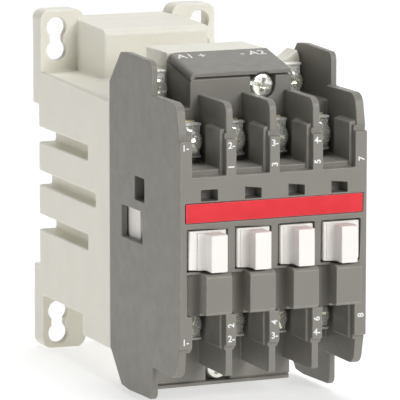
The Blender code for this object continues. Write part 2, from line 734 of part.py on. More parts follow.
def build_contactor():
    for piece in list(bpy.data.objects):
        bpy.data.objects.remove(piece)
    finishes = {
        "base": finish("base_plastic", (0.62, 0.60, 0.52), 0.5),
        "dark": finish("housing_plastic", (0.22, 0.21, 0.19), 0.5),
        "white": finish("carrier_plastic", (0.86, 0.84, 0.80), 0.4),
        "label": finish("label_red", (0.75, 0.04, 0.06), 0.4),
        "steel": finish("zinc_steel", (0.62, 0.63, 0.55), 0.3, 1.0),
        "brass": finish("contact_brass", (0.72, 0.55, 0.28), 0.35, 1.0),
        "iron": finish("core_iron", (0.35, 0.35, 0.36), 0.45, 1.0),
        "copper": finish("winding_copper", (0.75, 0.34, 0.16), 0.35, 1.0),
        "rubber": finish("cushion_rubber", (0.03, 0.03, 0.03), 0.8),
    }
    place("base_housing", base_housing(), finishes["base"])
    place("contact_housing", contact_housing(), finishes["dark"])
    place("coil_cap", coil_cap(), finishes["dark"])
    label_x = (LABEL_X[0] + 0.15, LABEL_X[1] - 0.15)
    label_z = (LABEL_Z[0] + 0.1, LABEL_Z[1] - 0.1)
    label = block(label_x, (FRONT - 0.05, FRONT + 0.6), label_z)
    place("front_label", label, finishes["label"])

    place("coil_bobbin", coil_bobbin(), finishes["base"])
    place("coil_winding", coil_winding(), finishes["copper"])
    place("magnet_yoke", magnet_yoke(), finishes["iron"])
    place("magnet_cushion", block((-14.0, 14.0), (-7.7, -6.9), (-7.0, 7.0)), finishes["rubber"])
    spring = helix(2.3, 0.35, 16.1, 6.0)
    for name, z in (("return_spring_upper", 13.6), ("return_spring_lower", -13.6)):
        place(name, spring, finishes["steel"], (0.0, -57.1, z), True)

    place_carrier_group(finishes)
    place_terminals(finishes)
    place_coil_terminals(finishes)
    cap_screw = screw(CAP_HEAD_RADIUS, 8.5)
    for name, (x, z) in CAP_SCREWS.items():
        where = (x, POCKET_BACK + 0.3 + HEAD_HEIGHT, z)
        place(f"cap_screw_{name}", cap_screw, finishes["steel"], where, True)

    place("din_latch", din_latch(), finishes["iron"])
    spring = helix(1.05, 0.22, 7.6, 6.0)
    latch_spring = place("din_latch_spring", spring, finishes["steel"], (0.0, -2.0, -28.6), True)
    latch_spring.rotation_euler = (math.radians(90.0), 0.0, 0.0)


build_contactor()
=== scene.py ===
"""Looks of the four-pole DIN rail contactor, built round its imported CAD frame.

Every CAD node is replaced by a finer piece in the same place: its edges are rounded, and the
screws, springs and winding are made afresh. Sizes named here are in millimetres unless they say
otherwise, and the meshes are in metres, in the frame's own axes: +X right, -Y front, +Z up.
"""

import json
import math
import random

import bmesh
import bpy
import numpy as np
from mathutils import Matrix, Vector
from mathutils.geometry import delaunay_2d_cdt
from mathutils.kdtree import KDTree

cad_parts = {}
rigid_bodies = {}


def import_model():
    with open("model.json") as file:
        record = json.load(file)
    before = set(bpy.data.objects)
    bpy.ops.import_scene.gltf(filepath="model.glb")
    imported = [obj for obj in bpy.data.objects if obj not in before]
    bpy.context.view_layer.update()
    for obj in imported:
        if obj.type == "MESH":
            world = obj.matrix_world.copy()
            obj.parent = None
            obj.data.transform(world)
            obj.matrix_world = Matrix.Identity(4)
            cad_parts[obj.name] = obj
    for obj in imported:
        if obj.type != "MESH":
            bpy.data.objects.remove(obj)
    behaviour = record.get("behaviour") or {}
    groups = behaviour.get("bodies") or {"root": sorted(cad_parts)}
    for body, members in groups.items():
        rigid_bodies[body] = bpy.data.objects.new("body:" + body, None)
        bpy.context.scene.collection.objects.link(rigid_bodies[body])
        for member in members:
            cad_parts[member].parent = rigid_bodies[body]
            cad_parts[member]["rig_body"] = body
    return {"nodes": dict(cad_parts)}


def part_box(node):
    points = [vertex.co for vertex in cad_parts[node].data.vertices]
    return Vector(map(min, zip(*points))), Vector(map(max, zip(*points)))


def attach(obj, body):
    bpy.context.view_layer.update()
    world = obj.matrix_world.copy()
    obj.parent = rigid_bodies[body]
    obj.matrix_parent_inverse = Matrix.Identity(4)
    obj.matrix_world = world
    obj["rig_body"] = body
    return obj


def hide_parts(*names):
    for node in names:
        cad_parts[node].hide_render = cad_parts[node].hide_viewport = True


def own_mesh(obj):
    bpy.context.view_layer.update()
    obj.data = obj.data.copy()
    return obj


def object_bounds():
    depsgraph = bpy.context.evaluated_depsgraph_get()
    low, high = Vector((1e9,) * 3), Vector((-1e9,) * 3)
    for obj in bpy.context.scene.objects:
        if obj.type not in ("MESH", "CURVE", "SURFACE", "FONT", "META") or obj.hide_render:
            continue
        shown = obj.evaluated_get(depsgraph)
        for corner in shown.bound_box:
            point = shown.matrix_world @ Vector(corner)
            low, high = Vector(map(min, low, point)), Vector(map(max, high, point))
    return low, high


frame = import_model()
cad_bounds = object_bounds()

MM = 0.001
chance = random.Random(7)

# Rounding: edges bent more than the sharp angle are rounded, and a surface that turns by more
# than the fold angle has been folded over by it. Trouble reaches as far as some rounding widths.
SHARP_ANGLE = math.radians(32)
FOLD_ANGLE = math.radians(140)
FLAT_ANGLE = math.radians(0.4)
SAME_PLANE = 0.99995
ROUNDING_TRIES = 10
TRIES_FOR_SHORT_EDGES = 3
TROUBLE_REACH = 1.3

# Vertices nearer than this are merged: in a CAD shape, after rounding, in a screw, in print
MERGE_DISTANCE = 0.005 * MM
ROUNDED_MERGE = 0.003 * MM
SCREW_MERGE = 0.002 * MM
PRINT_MERGE = 0.0005 * MM

# Sizes of the object that the frame's boxes don't tell
PANEL_FRONT = -90.1
TIP_HEIGHT = 0.36
SCREW_HEAD_HEIGHT = 2.4
SHANK_RADIUS = 1.5
WINDING_DEPTH = 3.9
CAP_THICKNESS = 0.95
CAP_EDGE_RADIUS = 1.45
CAP_NOTCH_RADIUS = 3.0
CAP_NOTCH_LENGTH = 3.1
# Rear left corner of the cap: distances from the rear edge, and how far the side has come in
CAP_CORNER = ((1.6, 0.0), (0.8, 0.2), (0.25, 0.6), (0.0, 0.8))
CAP_FRONT = (-73.6, 34.2)
CAP_SLOPE = math.atan2(3.05, 13.5)

# Springs: radius of the coil, radius of the wire, turns
RETURN_SPRING = (2.3, 0.35, 7.0)
CONTACT_SPRING = (1.6, 0.28, 5.0)
LATCH_SPRING = (1.05, 0.22, 7.0)

# Printed marks
MARK_DEPTH = 0.02
MARK_BOLDNESS = 0.045
STRIP_MARK_SIZE = 2.0
STRIP_DASH_X = (-20.8, -10.1, 0.1, 10.2)
STRIP_DASH_Z = (20.6, -21.6)
STRIP_NUMBER_X = (-10.1, 0.1, 10.2, 20.7)
STRIP_NUMBER_Z = (16.0, -18.6)
CAP_MARK_SIZE = 3.5
CAP_MARKS = (("A1 +", -8.0), ("- A2", 6.6))
CAP_MARK_Y = -62.9

# Studio, in metres and watts
SOFTBOXES = (
    # name, location, size, energy
    ("key", (0.3, -1.15, 0.5), 0.6, 9.9),
    ("left", (-1.25, 0.1, 0.25), 0.5, 3.2),
    ("top", (0.05, 0.15, 1.2), 0.7, 7.8),
    ("back", (0.5, 1.3, 0.55), 1.3, 6.0),
)
SOFTBOX_TARGET = (0.0, -0.05, 0.0)
SKY_STRENGTH = 0.11
FLOOR_GLOW = 0.57
FLOOR_REACH = 6.0
CAMERA_PLACE = (-0.32970, -0.83212, 0.14277)
CAMERA_VIEW = (0.38265, 0.90931, -0.16354)
CAMERA_LENS = 343.8


# ---------------------------------------------------------------- rounding of CAD shapes
def cad_shape(node):
    """A bmesh of a CAD node with its vertices merged and its flat triangles joined."""
    bm = bmesh.new()
    bm.from_mesh(frame["nodes"][node].data)
    bmesh.ops.remove_doubles(bm, verts=bm.verts, dist=MERGE_DISTANCE)
    bmesh.ops.dissolve_degenerate(bm, dist=MERGE_DISTANCE, edges=bm.edges)
    bmesh.ops.dissolve_limit(bm, angle_limit=FLAT_ANGLE, verts=bm.verts, edges=bm.edges)
    return bm


def bevel(bm, edges, width, segments):
    """Rounds edges and returns the faces that the rounding made."""
    made = bmesh.ops.bevel(
        bm,
        geom=edges,
        offset=width * MM,
        offset_type="OFFSET",
        segments=segments,
        profile=0.5,
        affect="EDGES",
        clamp_overlap=False,
        loop_slide=True,
        miter_outer="ARC",
        miter_inner="SHARP",
    )
    return made["faces"]


def flat_regions(bm, skip):
    """Groups the faces that lie in one plane and touch, leaving out the ones to skip."""
    seen = set(skip)
    regions = []
    for seed in bm.faces:
        if seed in seen:
            continue
        seen.add(seed)
        region, queue = [], [seed]
        while queue:
            face = queue.pop()
            region.append(face)
            for edge in face.edges:
                for other in edge.link_faces:
                    if other not in seen and other.normal.dot(seed.normal) > SAME_PLANE:
                        seen.add(other)
                        queue.append(other)
        regions.append(region)
    return regions


def inside_outline(points, starts, ends):
    """For each point, True if it is inside the closed outline, by counting crossings."""
    x, y = points[:, :1], points[:, 1:]
    x0, y0, x1, y1 = starts[:, 0], starts[:, 1], ends[:, 0], ends[:, 1]
    spans = (y0 > y) != (y1 > y)
    height = np.where(y1 == y0, 1.0, y1 - y0)
    crosses = spans & (x < (x1 - x0) * (y - y0) / height + x0)
    return crosses.sum(axis=1) % 2 == 1


def retile(bm, region, area_layer, area):
    """Splits a flat region afresh into triangles.

    Returns the points where its outline crosses itself, and then leaves the region as it is.
    """
    members = set(region)
    outline = []
    for face in region:
        for edge in face.edges:
            if sum(other in members for other in edge.link_faces) == 1:
                outline.append(edge)
    normal = sum((face.normal * face.calc_area() for face in region), Vector()).normalized()
    across = normal.orthogonal().normalized()
    upward = normal.cross(across)
    corners = list({vertex: None for edge in outline for vertex in edge.verts})
    number = {vertex: index for index, vertex in enumerate(corners)}
    flat = [Vector((v.co.dot(across), v.co.dot(upward))) / MM for v in corners]
    pairs = [(number[edge.verts[0]], number[edge.verts[1]]) for edge in outline]
    points, _, faces, origin, _, _ = delaunay_2d_cdt(flat, pairs, [], 0, 1e-6, True)
    height = corners[0].co.dot(normal)
    crossings = [
        across * point.x * MM + upward * point.y * MM + normal * height
        for point, sources in zip(points, origin)
        if len(sources) != 1
    ]
    if crossings:
        return crossings
    places = np.array([tuple(point) for point in points])
    ends = np.array([[flat[a], flat[b]] for a, b in pairs])
    middles = np.array([places[list(face)].mean(axis=0) for face in faces])
    keep = inside_outline(middles, ends[:, 0], ends[:, 1])
    bmesh.ops.delete(bm, geom=region, context="FACES_ONLY")
    for face, kept in zip(faces, keep):
        if not kept:
            continue
        (ax, ay), (bx, by), (cx, cy) = (places[index] for index in face)
        turned = (bx - ax) * (cy - ay) < (by - ay) * (cx - ax)
        order = reversed(face) if turned else face
        triangle = [corners[origin[index][0]] for index in order]
        twin = bm.faces.get(triangle)
        if twin:
            # Two faces back to back enclose nothing, so both go
            bmesh.ops.delete(bm, geom=[twin], context="FACES_ONLY")
        else:
            bm.faces.new(triangle)[area_layer] = area
    return []


def folded_points(bm):
    """Middles of the edges at which the surface turns back on itself."""
    return [
        (edge.verts[0].co + edge.verts[1].co) / 2
        for edge in bm.edges
        if edge.calc_face_angle(0.0) > FOLD_ANGLE
    ]


def edges_near(points, spans, reach):
    """The numbers of the edges that pass within reach of any of the points."""
    tree = KDTree(len(points))
    for index, point in enumerate(points):
        tree.insert(point, index)
    tree.balance()
    near = set()
    for index, start, end in spans:
        steps = max(1, int((end - start).length / reach))
        for step in range(steps + 1):
            if tree.find(start.lerp(end, step / steps))[2] < reach:
                near.add(index)
                break
    return near


def rounded(base, width, segments=2, left_sharp=()):
    """Rounds a shape's sharp edges, apart from those left sharp, and returns it as a mesh.

    An edge whose rounding would fold a face over is left sharp too. Each face of the mesh knows
    the area of the flat region it belongs to (0 on a rounded edge), and whether it takes the
    painted edge highlight (rounded outer edges do).
    """
    base.edges.index_update()
    spared = {edge.index for edge in left_sharp}
    for attempt in range(ROUNDING_TRIES):
        bm = base.copy()
        area_layer = bm.faces.layers.float.new("flat_area")
        highlight_layer = bm.faces.layers.float.new("painted_highlight")
        rim_layer = bm.faces.layers.int.new("rim")
        bm.edges.index_update()
        edges = [
            edge
            for edge in bm.edges
            if edge.index not in spared and edge.calc_face_angle(0.0) > SHARP_ANGLE
        ]
        spans = [(e.index, e.verts[0].co.copy(), e.verts[1].co.copy()) for e in edges]
        for face in bevel(bm, edges, width, segments):
            face[rim_layer] = 1
        bmesh.ops.remove_doubles(bm, verts=bm.verts, dist=ROUNDED_MERGE)
        bm.normal_update()
        rim = [face for face in bm.faces if face[rim_layer]]
        for face in rim:
            # Rounded faces on an outer edge take the painted edge highlight
            face[highlight_layer] = float(any(edge.is_convex for edge in face.edges))
        trouble = folded_points(bm)
        for region in flat_regions(bm, rim):
            region = [face for face in region if face.is_valid]
            if not region:
                continue
            area = sum(face.calc_area() for face in region) / MM**2
            if len(region) == 1 and len(region[0].verts) < 5:
                region[0][area_layer] = area
            else:
                trouble += retile(bm, region, area_layer, area)
        if not trouble:
            break
        reach = width * MM * TROUBLE_REACH
        near = edges_near(trouble, spans, reach)
        if not near or attempt == ROUNDING_TRIES - 1:
            break
        # The first tries give up short edges only, because a long sharp edge shows
        short = {index for index, start, end in spans if (end - start).length < 3 * reach}
        picky = attempt < TRIES_FOR_SHORT_EDGES and near & short
        spared |= near & short if picky else near
        bm.free()
    loose = [edge for edge in bm.edges if not edge.link_faces]
    bmesh.ops.delete(bm, geom=loose, context="EDGES")
    bmesh.ops.delete(bm, geom=[v for v in bm.verts if not v.link_faces], context="VERTS")
    # Slivers without width that the tiling left out
    slits = [edge for edge in bm.edges if len(edge.link_faces) == 1]
    bmesh.ops.holes_fill(bm, edges=slits, sides=8)
    mesh = bpy.data.meshes.new("rounded")
    bm.to_mesh(mesh)
    bm.free()
    base.free()
    set_normals(mesh)
    return mesh


def set_normals(mesh):
    """Shades flat regions flat and lets rounded edges turn smoothly from one to the next."""
    mesh.shade_smooth()
    areas = np.zeros(len(mesh.polygons), np.float32)
    mesh.attributes["flat_area"].data.foreach_get("value", areas)
    around = [[] for _ in mesh.vertices]
    for face in mesh.polygons:
        for vertex in face.vertices:
            around[vertex].append(face.index)
    limit = math.cos(SHARP_ANGLE)
    normals = [face.normal.copy() for face in mesh.polygons]
    result = [None] * len(mesh.loops)
    for face in mesh.polygons:
        for loop in face.loop_indices:
            near = around[mesh.loops[loop].vertex_index]
            flat = [index for index in near if areas[index] > 0]
            own = normals[face.index]
            if areas[face.index] > 0:
                like = [index for index in flat if normals[index].dot(own) > limit]
                total = sum((normals[index] * float(areas[index]) for index in like), Vector())
            elif flat:
                first = normals[flat[0]]
                alike = all(normals[index].dot(first) > limit for index in flat)
                chosen = flat if alike else [index for index in near if areas[index] == 0]
                total = sum(
                    (normals[index] * (float(areas[index]) if alike else 1.0) for index in chosen),
                    Vector(),
                )
            else:
                total = sum((normals[index] for index in near), Vector())
            result[loop] = total.normalized() if total.length > 0 else own
    mesh.normals_split_custom_set(result)


# ---------------------------------------------------------------- shapes made afresh
def mesh_from(build, smooth_angle=40):
    """Runs build on an empty bmesh, turns its faces outwards and smooths its shallow edges."""
    bm = bmesh.new()
    build(bm)
    bmesh.ops.recalc_face_normals(bm, faces=bm.faces)
    mesh = bpy.data.meshes.new("made")
    bm.to_mesh(mesh)
    bm.free()
    mesh.shade_smooth()
    mesh.set_sharp_from_angle(angle=math.radians(smooth_angle))
    return mesh


def skin(bm, rings, closed=False):
    """Joins rings of vertices with quads; the ends are capped unless the rings form a loop."""
    pairs = list(zip(rings, rings[1:]))
    if closed:
        pairs.append((rings[-1], rings[0]))
    for first, second in pairs:
        for index in range(len(first)):
            after = (index + 1) % len(first)
            bm.faces.new((first[index], first[after], second[after], second[index]))
    if not closed:
        bm.faces.new(rings[0])
        bm.faces.new(rings[-1])


def lathe(profile, sides=40):
    """A solid of revolution about the Y axis, from (radius, y) pairs in order along the axis."""

    def build(bm):
        rings = []
        for radius, y in profile:
            ring = []
            for side in range(sides):
                turn = 2 * math.pi * side / sides
                spot = Vector((radius * math.cos(turn), y, radius * math.sin(turn)))
                ring.append(bm.verts.new(spot * MM))
            rings.append(ring)
        skin(bm, rings)

    return mesh_from(build)


def helix(radius, wire, length, turns, steps=26, sides=10):
    """A compression spring along +Y whose end turns lie close together and flat."""

    def build(bm):
        count = int(turns * steps)
        rings = []
        for index in range(count + 1):
            turn = turns * index / count
            rise = spring_rise(turn, turns, wire, length)
            angle = 2 * math.pi * turn
            outward = Vector((math.cos(angle), 0.0, math.sin(angle)))
            centre = outward * radius + Vector((0.0, rise, 0.0))
            ring = []
            for side in range(sides):
                around = 2 * math.pi * side / sides
                offset = outward * math.cos(around) + Vector((0.0, math.sin(around), 0.0))
                ring.append(bm.verts.new((centre + offset * wire) * MM))
            rings.append(ring)
        skin(bm, rings)

    return mesh_from(build, 60)


def spring_rise(turn, turns, wire, length):
    """Height of a spring's wire after some turns: the first and last turns rise by one wire."""
    closed = 2.1 * wire
    pitch = (length - 2 * wire - 2 * closed) / (turns - 2)
    if turn < 1:
        return wire + closed * turn
    if turn > turns - 1:
        return length - wire - closed * (turns - turn)
    return wire + closed + pitch * (turn - 1)


def carved(mesh, cutters):
    """The mesh with the cutters taken out of it."""
    target = bpy.data.objects.new("target", mesh)
    bpy.context.scene.collection.objects.link(target)
    helpers = []
    for cutter in cutters:
        helper = bpy.data.objects.new("helper", cutter)
        bpy.context.scene.collection.objects.link(helper)
        helpers.append(helper)
        modifier = target.modifiers.new("cut", "BOOLEAN")
        modifier.operation = "DIFFERENCE"
        modifier.object = helper
    graph = bpy.context.evaluated_depsgraph_get()
    result = bpy.data.meshes.new_from_object(target.evaluated_get(graph))
    for helper in helpers + [target]:
        bpy.data.objects.remove(helper)
    return result


def box_mesh(x, y, z, turn=0.0):
    """A box between limits on each axis, turned about the Y axis by some degrees."""

    def build(bm):
        size = [(high - low) * MM for low, high in (x, y, z)]
        middle = [(high + low) / 2 * MM for low, high in (x, y, z)]
        placing = Matrix.Translation(middle) @ Matrix.Diagonal((*size, 1.0))
        placing = Matrix.Rotation(math.radians(turn), 4, "Y") @ placing
        bmesh.ops.create_cube(bm, size=1.0, matrix=placing)

    return mesh_from(build, 20)


def thread_profile(radius, start, end, pitch=0.6):
    """Profile of a threaded shank that ends in a chamfer."""
    points = []
    y = start
    while y < end - pitch:
        points += [(radius - 0.22, y), (radius, y + pitch * 0.3), (radius, y + pitch * 0.45)]
        y += pitch
    return points + [(radius - 0.25, end - 0.3), (radius - 0.5, end)]


def screw_mesh(head_radius, head_height, shank_length, turn):
    """Pan-head screw along +Y with its head's rear face at the origin and a slot and cross."""
    top = -head_height
    head = [
        (head_radius * 0.3, top),
        (head_radius - 0.75, top),
        (head_radius - 0.35, top + 0.12),
        (head_radius - 0.1, top + 0.38),
        (head_radius, top + 0.75),
        (head_radius, -0.15),
        (head_radius - 0.12, 0.0),
        (1.3, 0.0),
    ]
    body = lathe(head + thread_profile(SHANK_RADIUS, 0.1, shank_length), 44)
    reach = head_radius + 1
    depth = (top - 1, top + 1.15)
    arm = head_radius * 0.62
    cutters = [
        box_mesh((-reach, reach), (top - 1, top + 0.95), (-0.45, 0.45), turn),
        box_mesh((-0.5, 0.5), depth, (-arm, arm), turn),
        box_mesh((-0.85, 0.85), (top - 1, top + 0.7), (-0.85, 0.85), turn + 45),
    ]
    mesh = carved(body, cutters)
    bm = bmesh.new()
    bm.from_mesh(mesh)
    bmesh.ops.remove_doubles(bm, verts=bm.verts, dist=SCREW_MERGE)
    # Faces at the top of the head take the painted highlight
    highlight_layer = bm.faces.layers.float.new("painted_highlight")
    for face in bm.faces:
        face[highlight_layer] = float(face.calc_center_median().y < (top + 0.5) * MM)
    bm.to_mesh(mesh)
    bm.free()
    mesh.shade_smooth()
    mesh.set_sharp_from_angle(angle=math.radians(28))
    return mesh


def loop_outline(half_x, half_z, radius, steps=6):
    """Rounded rectangle on the XZ plane, as points."""
    points = []
    for quarter in range(4):
        sign_x = 1 if quarter in (0, 3) else -1
        sign_z = 1 if quarter in (0, 1) else -1
        centre = Vector((sign_x * (half_x - radius), 0.0, sign_z * (half_z - radius)))
        for step in range(steps + 1):
            turn = math.radians(90 * (quarter + step / steps))
            points.append(centre + Vector((math.cos(turn), 0.0, math.sin(turn))) * radius)
    return points


def winding_mesh(low, high, wire=0.36):
    """Coil of wire round the bobbin, hollow for it: its outer skin shows each turn as a ridge."""
    start, end = low.y / MM, high.y / MM
    half_x, half_z = high.x / MM, high.z / MM
    turns = int((end - start) / wire)
    pitch = (end - start) / turns
    profile = []
    for turn in range(turns):
        for share, rise in ((0.0, -0.13), (0.2, -0.03), (0.5, 0.0), (0.8, -0.03)):
            profile.append((rise, start + pitch * (turn + share)))
    profile += [(-0.13, end), (-WINDING_DEPTH, end), (-WINDING_DEPTH, start)]

    def build(bm):
        rings = []
        for rise, y in profile:
            radius = 2.2 if rise > -1 else 0.4
            ring = []
            for point in loop_outline(half_x + rise, half_z + rise, radius):
                ring.append(bm.verts.new((point.x * MM, y * MM, point.z * MM)))
            rings.append(ring)
        skin(bm, rings, closed=True)

    return mesh_from(build, 50)


# ---------------------------------------------------------------- materials
class Surface:
    """A procedural material: its shader, and short ways to add nodes to it."""

    def __init__(self, name):
        self.material = bpy.data.materials.new(name)
        self.material.use_nodes = True
        self.tree = self.material.node_tree
        self.shader = self.tree.nodes["Principled BSDF"]
        self.place = self.tree.nodes.new("ShaderNodeTexCoord").outputs["Object"]

    def node(self, kind, inputs, **settings):
        """Adds a node with its inputs given as values or as sockets to link."""
        made = self.tree.nodes.new(kind)
        for key, value in settings.items():
            setattr(made, key, value)
        for key, value in inputs.items():
            self.give(made.inputs[key], value)
        return made

    def give(self, socket, value):
        """Links a socket, or sets its own value."""
        if isinstance(value, bpy.types.NodeSocket):
            self.tree.links.new(value, socket)
        else:
            socket.default_value = value

    def set(self, **values):
        """Gives the shader's sockets, with underscores for the spaces in their names."""
        for key, value in values.items():
            self.give(self.shader.inputs[key.replace("_", " ")], value)

    def noise(self, scale, detail=2.0, stretch=(1.0, 1.0, 1.0)):
        """Noise from 0 to 1; scale is in features per metre."""
        mapping = self.node("ShaderNodeMapping", {"Vector": self.place, "Scale": stretch})
        inputs = {"Vector": mapping.outputs[0], "Scale": scale, "Detail": detail}
        return self.node("ShaderNodeTexNoise", inputs).outputs["Fac"]

    def spread(self, value, low, high, start=0.3, end=0.7):
        """Maps a value between start and end to between low and high."""
        inputs = {
            "Value": value,
            "From Min": start,
            "From Max": end,
            "To Min": low,
            "To Max": high,
        }
        return self.node("ShaderNodeMapRange", inputs).outputs[0]

    def mix(self, factor, first, second):
        """Mixes two colours."""
        made = self.node("ShaderNodeMix", {}, data_type="RGBA")
        self.give(made.inputs[0], factor)
        self.give(made.inputs[6], (*first, 1.0) if isinstance(first, tuple) else first)
        self.give(made.inputs[7], (*second, 1.0) if isinstance(second, tuple) else second)
        return made.outputs[2]

    def times(self, first, second):
        """Multiplies two values."""
        made = self.node("ShaderNodeMath", {}, operation="MULTIPLY")
        self.give(made.inputs[0], first)
        self.give(made.inputs[1], second)
        return made.outputs[0]

    def highlight_mask(self):
        """Mask of the painted highlight: 1 on rounded outer edges and screw-head tops, 0 on flat
        faces.
        """
        return self.node("ShaderNodeAttribute", {}, attribute_name="painted_highlight").outputs["Fac"]

    def bands(self, direction, pitch):
        """Fine parallel bands, such as the edges of stacked sheets; pitch in metres."""
        inputs = {"Vector": self.place, "Scale": math.pi / 10 / pitch, "Distortion": 0.3}
        made = self.node("ShaderNodeTexWave", inputs, bands_direction=direction)
        return made.outputs["Fac"]

    def bump(self, height, strength, distance, under=None):
        """A normal with the relief of a height, on top of another normal if one is given."""
        inputs = {"Height": height, "Strength": strength, "Distance": distance}
        if under is not None:
            inputs["Normal"] = under
        return self.node("ShaderNodeBump", inputs).outputs[0]


def scaled(colour, factor):
    """A colour made lighter or darker."""
    return tuple(min(1.0, channel * factor) for channel in colour)


def plastic(name, colour, roughness, grain, painted_highlight):
    """Moulded plastic: slight mottling, eroded spark grain and a painted highlight on rounded
    edges.
    """
    surface = Surface(name)
    mottle = surface.spread(surface.noise(150.0, 3.0), 0.0, 1.0)
    body = surface.mix(mottle, scaled(colour, 0.98), scaled(colour, 1.02))
    fleck = surface.spread(surface.noise(1400.0, 2.0), 0.0, 0.25, 0.55, 0.8)
    body = surface.mix(fleck, body, scaled(colour, 1.1))
    # Painted edge highlight: rounded outer edges made lighter, patchy by noise
    highlight_breakup = surface.spread(surface.noise(500.0, 3.0), 0.25, 1.0, 0.35, 0.6)
    edge = surface.times(surface.times(surface.highlight_mask(), highlight_breakup), painted_highlight)
    body = surface.mix(edge, body, scaled(colour, 1.45))
    rough = surface.spread(surface.noise(380.0, 3.0), roughness - 0.06, roughness + 0.08)
    fine = surface.bump(surface.noise(4200.0, 2.0), grain, 0.00005)
    normal = surface.bump(surface.noise(160.0, 1.0), 0.03, 0.0003, fine)
    surface.set(Base_Color=body, Roughness=rough, Normal=normal, Specular_IOR_Level=0.5)
    return surface.material


def metal(name, colour, tint, roughness, streaks=(1.0, 1.0, 1.0), metallic=1.0, specks=0.3):
    """Plated or bare metal: patches of a second tint, dull specks, streaks and a painted highlight
    on the edges.
    """
    surface = Surface(name)
    patches = surface.spread(surface.noise(620.0, 2.0), 0.0, 0.7, 0.42, 0.62)
    body = surface.mix(patches, colour, tint)
    flecks = surface.spread(surface.noise(2100.0, 2.0), 0.0, specks, 0.55, 0.75)
    body = surface.mix(flecks, body, scaled(colour, 0.6))
    # Painted edge highlight: rounded outer edges made lighter, patchy by noise
    edge = surface.times(surface.highlight_mask(), surface.spread(surface.noise(800.0), 0.3, 0.8))
    body = surface.mix(edge, body, scaled(colour, 1.2))
    lines = surface.noise(1500.0, 3.0, streaks)
    rough = surface.spread(lines, roughness - 0.08, roughness + 0.12)
    normal = surface.bump(lines, 0.05, 0.00004)
    surface.set(Base_Color=body, Metallic=metallic, Roughness=rough, Normal=normal)
    return surface.material


def laminated_iron(name):
    """Stacked sheets of core iron, seen as fine bands across Z."""
    surface = Surface(name)
    bands = surface.bands("Z", 0.0005)
    rust = surface.spread(surface.noise(300.0, 3.0), 0.0, 0.35, 0.5, 0.75)
    sheet = surface.spread(bands, 0.0, 1.0, 0.0, 0.4)
    body = surface.mix(sheet, (0.16, 0.16, 0.165), (0.4, 0.4, 0.41))
    body = surface.mix(rust, body, (0.24, 0.17, 0.12))
    rough = surface.spread(surface.noise(900.0, 3.0), 0.34, 0.55)
    normal = surface.bump(bands, 0.35, 0.00008)
    surface.set(Base_Color=body, Metallic=1.0, Roughness=rough, Normal=normal)
    return surface.material


def red_film(name):
    """Printed film with a soft gloss and a barely uneven ink."""
    surface = Surface(name)
    ink = surface.spread(surface.noise(260.0, 3.0), 0.0, 1.0)
    body = surface.mix(ink, (0.69, 0.018, 0.03), (0.75, 0.026, 0.04))
    # Painted edge highlight: rounded outer edges made lighter pink, patchy by noise
    edge = surface.times(surface.highlight_mask(), surface.spread(surface.noise(900.0), 0.2, 0.6))
    body = surface.mix(edge, body, (0.9, 0.3, 0.3))
    rough = surface.spread(surface.noise(600.0, 2.0), 0.32, 0.46)
    normal = surface.bump(surface.noise(900.0, 2.0), 0.05, 0.00005)
    surface.set(Base_Color=body, Roughness=rough, Normal=normal, Specular_IOR_Level=0.35)
    return surface.material


def rubber(name):
    """Black rubber with a dusty bloom and a fine grain."""
    surface = Surface(name)
    body = surface.mix(surface.noise(400.0, 3.0), (0.02, 0.02, 0.021), (0.05, 0.05, 0.048))
    rough = surface.spread(surface.noise(900.0), 0.7, 0.92)
    normal = surface.bump(surface.noise(2500.0), 0.3, 0.00006)
    surface.set(Base_Color=body, Roughness=rough, Normal=normal)
    return surface.material


def white_print(name):
    """Pad-printed ink, thinner in places."""
    surface = Surface(name)
    cover = surface.spread(surface.noise(2200.0), 0.0, 1.0)
    body = surface.mix(cover, (0.72, 0.72, 0.7), (0.9, 0.9, 0.88))
    rough = surface.spread(surface.noise(1200.0), 0.45, 0.65)
    surface.set(Base_Color=body, Roughness=rough)
    return surface.material


BRUSHED_ACROSS = (0.15, 1.0, 1.0)
ZINC_STEEL = metal(
    "zinc_plated_steel", (0.95, 0.96, 0.9), (0.86, 0.85, 0.58), 0.2, metallic=0.85, specks=0.1
)
CLAMP_ZINC = metal(
    "zinc_plated_sheet", (0.95, 0.96, 0.93), (0.88, 0.87, 0.76), 0.3, metallic=0.65, specks=0.1
)
TINNED_BRASS = metal(
    "tinned_brass", (0.8, 0.74, 0.56), (0.76, 0.66, 0.42), 0.3, BRUSHED_ACROSS
)
MATERIALS = {
    "base_plastic": plastic("light_base_plastic", (0.79, 0.768, 0.675), 0.46, 0.1, 0.25),
    "housing_plastic": plastic("grey_housing_plastic", (0.213, 0.202, 0.178), 0.45, 0.16, 0.5),
    "carrier_plastic": plastic("white_carrier_plastic", (0.85, 0.82, 0.785), 0.38, 0.05, 0.15),
    "label_red": red_film("red_film"),
    "zinc_steel": ZINC_STEEL,
    "contact_brass": TINNED_BRASS,
    "core_iron": laminated_iron("laminated_core_iron"),
    "winding_copper": metal("enamelled_copper", (0.72, 0.31, 0.13), (0.5, 0.17, 0.07), 0.26),
    "cushion_rubber": rubber("cushion_rubber"),
}
SILVER = metal("silver_tip", (0.86, 0.86, 0.84), (0.7, 0.68, 0.62), 0.25)
SHEET_STEEL = metal("sheet_steel", (0.5, 0.51, 0.52), (0.42, 0.4, 0.36), 0.36, BRUSHED_ACROSS)
WHITE_INK = white_print("white_ink")


# ---------------------------------------------------------------- pieces
def show(name, mesh, material, body):
    """A visible piece that rides on a body of the frame."""
    piece = bpy.data.objects.new(name, mesh)
    bpy.context.scene.collection.objects.link(piece)
    mesh.materials.clear()
    mesh.materials.append(material)
    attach(piece, body)
    return piece


def stand_in(node, mesh, slot, material=None):
    """Shows a mesh in place of a CAD node, on the node's own body."""
    body = frame["nodes"][node]["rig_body"]
    piece = show(f"{node}_shape", mesh, material or MATERIALS[slot], body)
    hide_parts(node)
    return piece


def along(edge, axis):
    """True if an edge lies along an axis."""
    direction = (edge.verts[1].co - edge.verts[0].co).normalized()
    return abs(direction["XYZ".index(axis)]) > 0.999


